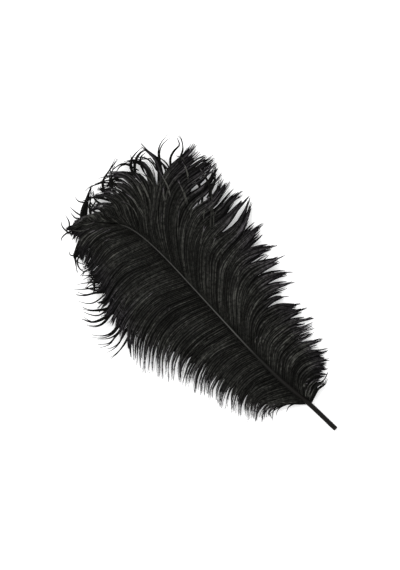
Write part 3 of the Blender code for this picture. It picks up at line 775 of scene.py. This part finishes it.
def shaft_piece(shaft, material, origin):
    """The quill and the shaft: round, then flat where the barbs grow, cut square and open at the quill's end."""
    sides, rings = 24, 180
    along = np.linspace(0, shaft.along[-1], rings)
    centre = shaft.at(along)
    tangent = np.gradient(centre, axis=0)
    tangent /= np.linalg.norm(tangent, axis=1, keepdims=True)
    across = np.cross(tangent, (0.0, 0.0, 1.0))
    across /= np.linalg.norm(across, axis=1, keepdims=True)
    over = np.cross(across, tangent)
    turn = np.linspace(0, 2 * math.pi, sides, endpoint=False)
    radius, flat = table_at(SHAFT_RADII, along), table_at(SHAFT_FLATNESS, along)
    ring = across[:, None] * np.cos(turn)[None, :, None]
    ring = ring + over[:, None] * (np.sin(turn)[None, :] * flat[:, None])[..., None]
    places = (centre[:, None] + ring * radius[:, None, None]).reshape(-1, 3)
    number = np.arange(rings * sides).reshape(rings, sides)
    a, b = number[:-1], number[1:]
    walls = [
        np.stack([a, np.roll(a, -1, 1), np.roll(b, -1, 1)], -1).reshape(-1, 3),
        np.stack([a, np.roll(b, -1, 1), b], -1).reshape(-1, 3),
    ]
    rim = centre[0] + (places[:sides] - centre[0]) * QUILL_BORE
    bottom = centre[:1] + tangent[:1] * QUILL_HOLLOW
    places = np.vstack([places, rim, rim + tangent[0] * QUILL_HOLLOW, bottom, centre[-1:]])
    inner = rings * sides + np.arange(sides)
    deep, low, high = inner + sides, rings * sides + 2 * sides, rings * sides + 2 * sides + 1
    ends = []
    for outside, inside in ((number[0], inner), (inner, deep)):
        ends.append(np.stack([outside, inside, np.roll(inside, -1)], -1))
        ends.append(np.stack([outside, np.roll(inside, -1), np.roll(outside, -1)], -1))
    ends.append(np.stack([deep, np.full(sides, low), np.roll(deep, -1)], -1))
    ends.append(np.stack([np.full(sides, high), number[-1], np.roll(number[-1], -1)], -1))
    shares = np.concatenate([np.repeat(along / along[-1], sides), np.zeros(2 * sides + 1), [1]])
    piece("quill_and_shaft", [(places, np.vstack([*walls, *ends]), 0.5, shares, True)], material, origin)


def nodes_of(material):
    material.use_nodes = True
    return material.node_tree.nodes, material.node_tree.links, material.node_tree.nodes["Principled BSDF"]


def plume_material():
    """Dyed barbs: near black, a little browner or greyer from barb to barb, with a soft sheen, and lighter where the
    tone attribute carries painted highlights.
    """
    material = bpy.data.materials.new("dyed_barbs_and_painted_highlights")
    nodes, links, shader = nodes_of(material)
    tone = nodes.new("ShaderNodeAttribute")
    tone.attribute_name = "tone"
    out = nodes.new("ShaderNodeAttribute")
    out.attribute_name = "out"
    ramps = []
    places = nodes.new("ShaderNodeTexCoord")
    flecks = nodes.new("ShaderNodeTexNoise")
    flecks.inputs["Scale"].default_value = 420
    flecks.inputs["Detail"].default_value = 1
    fleck = nodes.new("ShaderNodeMapRange")
    fleck.inputs["From Min"].default_value = 0.3
    fleck.inputs["From Max"].default_value = 0.7
    fleck.inputs["To Min"].default_value = 0.25
    fleck.inputs["To Max"].default_value = 1.75
    flecked = nodes.new("ShaderNodeMath")
    flecked.operation = "MULTIPLY"
    patches = nodes.new("ShaderNodeTexNoise")
    patches.inputs["Scale"].default_value = 60
    patch = nodes.new("ShaderNodeMapRange")
    patch.inputs["From Min"].default_value = 0.3
    patch.inputs["From Max"].default_value = 0.7
    patch.inputs["To Min"].default_value = 0.75
    patch.inputs["To Max"].default_value = 1.25
    patched = nodes.new("ShaderNodeMath")
    patched.operation = "MULTIPLY"
    links.new(places.outputs["Object"], patches.inputs["Vector"])
    links.new(patches.outputs["Fac"], patch.inputs["Value"])
    links.new(flecked.outputs["Value"], patched.inputs[0])
    links.new(patch.outputs["Result"], patched.inputs[1])
    links.new(places.outputs["Object"], flecks.inputs["Vector"])
    links.new(flecks.outputs["Fac"], fleck.inputs["Value"])
    links.new(tone.outputs["Fac"], flecked.inputs[0])
    links.new(fleck.outputs["Result"], flecked.inputs[1])
    for dark, light in (INNER_COLOURS, OUTER_COLOURS):
        ramp = nodes.new("ShaderNodeValToRGB")
        for element, colour in zip(ramp.color_ramp.elements, (dark, light)):
            element.color = (*colour, 1)
        links.new(patched.outputs["Value"], ramp.inputs["Fac"])
        ramps.append(ramp)
    mix = nodes.new("ShaderNodeMix")
    mix.data_type = "RGBA"
    outer = nodes.new("ShaderNodeMapRange")
    outer.inputs["From Min"].default_value = 0.62
    links.new(out.outputs["Fac"], outer.inputs["Value"])
    links.new(outer.outputs["Result"], mix.inputs["Factor"])
    links.new(ramps[0].outputs["Color"], mix.inputs["A"])
    links.new(ramps[1].outputs["Color"], mix.inputs["B"])
    links.new(mix.outputs["Result"], shader.inputs["Base Color"])
    shader.inputs["Roughness"].default_value = 0.5
    shader.inputs["Specular IOR Level"].default_value = 0.06
    return material


def shaft_material():
    """Dyed horn: a black quill, a dark band where the vanes start, then a grey line, with lengthwise streaks."""
    material = bpy.data.materials.new("dyed_horn")
    nodes, links, shader = nodes_of(material)
    along = nodes.new("ShaderNodeAttribute")
    along.attribute_name = "out"
    ramp = nodes.new("ShaderNodeValToRGB")
    ramp.color_ramp.elements[0].color = (0.0200, 0.0170, 0.0160, 1)
    ramp.color_ramp.elements[1].color = (0.0500, 0.0500, 0.0460, 1)
    for at, *colour in HORN_COLOURS:
        ramp.color_ramp.elements.new(at).color = (*colour, 1)
    links.new(along.outputs["Fac"], ramp.inputs["Fac"])
    places = nodes.new("ShaderNodeTexCoord")
    stretch = nodes.new("ShaderNodeMapping")
    stretch.inputs["Scale"].default_value = (2600, 60, 2600)
    streaks = nodes.new("ShaderNodeTexNoise")
    streaks.inputs["Scale"].default_value = 1.0
    shade = nodes.new("ShaderNodeMapRange")
    shade.inputs["To Min"].default_value = 0.5
    shade.inputs["To Max"].default_value = 1.5
    colour = nodes.new("ShaderNodeVectorMath")
    colour.operation = "SCALE"
    links.new(places.outputs["Object"], stretch.inputs["Vector"])
    links.new(stretch.outputs["Vector"], streaks.inputs["Vector"])
    links.new(streaks.outputs["Fac"], shade.inputs["Value"])
    links.new(ramp.outputs["Color"], colour.inputs[0])
    links.new(shade.outputs["Result"], colour.inputs["Scale"])
    links.new(colour.outputs["Vector"], shader.inputs["Base Color"])
    shader.inputs["Roughness"].default_value = 0.5
    shader.inputs["Specular IOR Level"].default_value = 0.08
    return material


def frame_origin():
    """Where the feather's own frame starts in the row frame, from the quill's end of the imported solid."""
    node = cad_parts["feather"]
    places = np.array([v.co for v in node.data.vertices])
    low = places[:, 1].min()
    end = places[places[:, 1] < low + 0.5 * MM]
    return np.array((end[:, 0].mean() - SHAFT_LINE[0][1] * MM, low, 0.0))


def camera(origin):
    """Straight down, turned so that the shaft runs to the picture's upper left, at the photo's scale."""
    data = bpy.data.cameras.new("camera")
    across = (PHOTO_SIZE[0] / 2 - PHOTO_QUILL_END[0]) * MM_A_PIXEL
    up = (PHOTO_QUILL_END[1] - PHOTO_SIZE[1] / 2) * MM_A_PIXEL
    x = across * math.cos(SHAFT_TURN) + up * math.sin(SHAFT_TURN)
    y = -across * math.sin(SHAFT_TURN) + up * math.cos(SHAFT_TURN)
    data.sensor_width = 36
    data.lens = data.sensor_width * CAMERA_HEIGHT / (PHOTO_SIZE[1] * MM_A_PIXEL * MM)
    obj = bpy.data.objects.new("camera", data)
    obj.location = (origin[0] + x * MM, origin[1] + y * MM, CAMERA_HEIGHT + PLUME_HEIGHT)
    obj.rotation_euler = (0, 0, -SHAFT_TURN)
    bpy.context.scene.collection.objects.link(obj)
    bpy.context.scene.camera = obj


def studio():
    """A white floor, even light from all round, and one large soft lamp from the picture's top left."""
    bpy.ops.mesh.primitive_plane_add(size=6)
    floor = bpy.context.object
    floor.name = "floor"
    material = bpy.data.materials.new("floor_white")
    _, _, shader = nodes_of(material)
    shader.inputs["Base Color"].default_value = (0.9, 0.9, 0.9, 1)
    shader.inputs["Roughness"].default_value = 0.9
    shader.inputs["Emission Color"].default_value = (1, 1, 1, 1)
    shader.inputs["Emission Strength"].default_value = 0.3
    floor.data.materials.append(material)
    world = bpy.data.worlds.new("studio")
    world.use_nodes = True
    world.node_tree.nodes["Background"].inputs["Color"].default_value = (1, 1, 1, 1)
    world.node_tree.nodes["Background"].inputs["Strength"].default_value = 0.95
    bpy.context.scene.world = world
    data = bpy.data.lights.new("softbox", "AREA")
    data.size = 1.2
    data.energy = 22
    lamp = bpy.data.objects.new("softbox", data)
    lamp.location = (-0.2, 1.3, 1.3)
    lamp.rotation_euler = (math.radians(-45), 0, math.radians(-10))
    bpy.context.scene.collection.objects.link(lamp)
    bpy.context.scene.view_settings.view_transform = "Standard"


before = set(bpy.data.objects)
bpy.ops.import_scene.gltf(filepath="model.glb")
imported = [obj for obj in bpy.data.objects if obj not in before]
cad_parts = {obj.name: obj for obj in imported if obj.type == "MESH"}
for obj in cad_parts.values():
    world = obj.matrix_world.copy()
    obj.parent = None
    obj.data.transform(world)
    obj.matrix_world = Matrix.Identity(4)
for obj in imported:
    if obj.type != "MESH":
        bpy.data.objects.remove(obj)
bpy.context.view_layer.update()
start = frame_origin()
random_source = np.random.default_rng(SEED)
camera(start)
studio()
the_shaft = Shaft()
barb_look = plume_material()
shaft_piece(the_shaft, shaft_material(), start)
left_vane = Vane(-1, LEFT_GUIDES, the_shaft, random_source)
right_vane = Vane(1, RIGHT_GUIDES, the_shaft, random_source)
left_top = vane_pieces("left_vane", left_vane, barb_look, start, random_source)
right_top = vane_pieces("right_vane", right_vane, barb_look, start, random_source)
wisps(barb_look, start, random_source)
strays((left_vane, right_vane), barb_look, start, random_source)
painted_highlight_barbs(np.vstack([left_top, right_top]), barb_look, start, random_source)
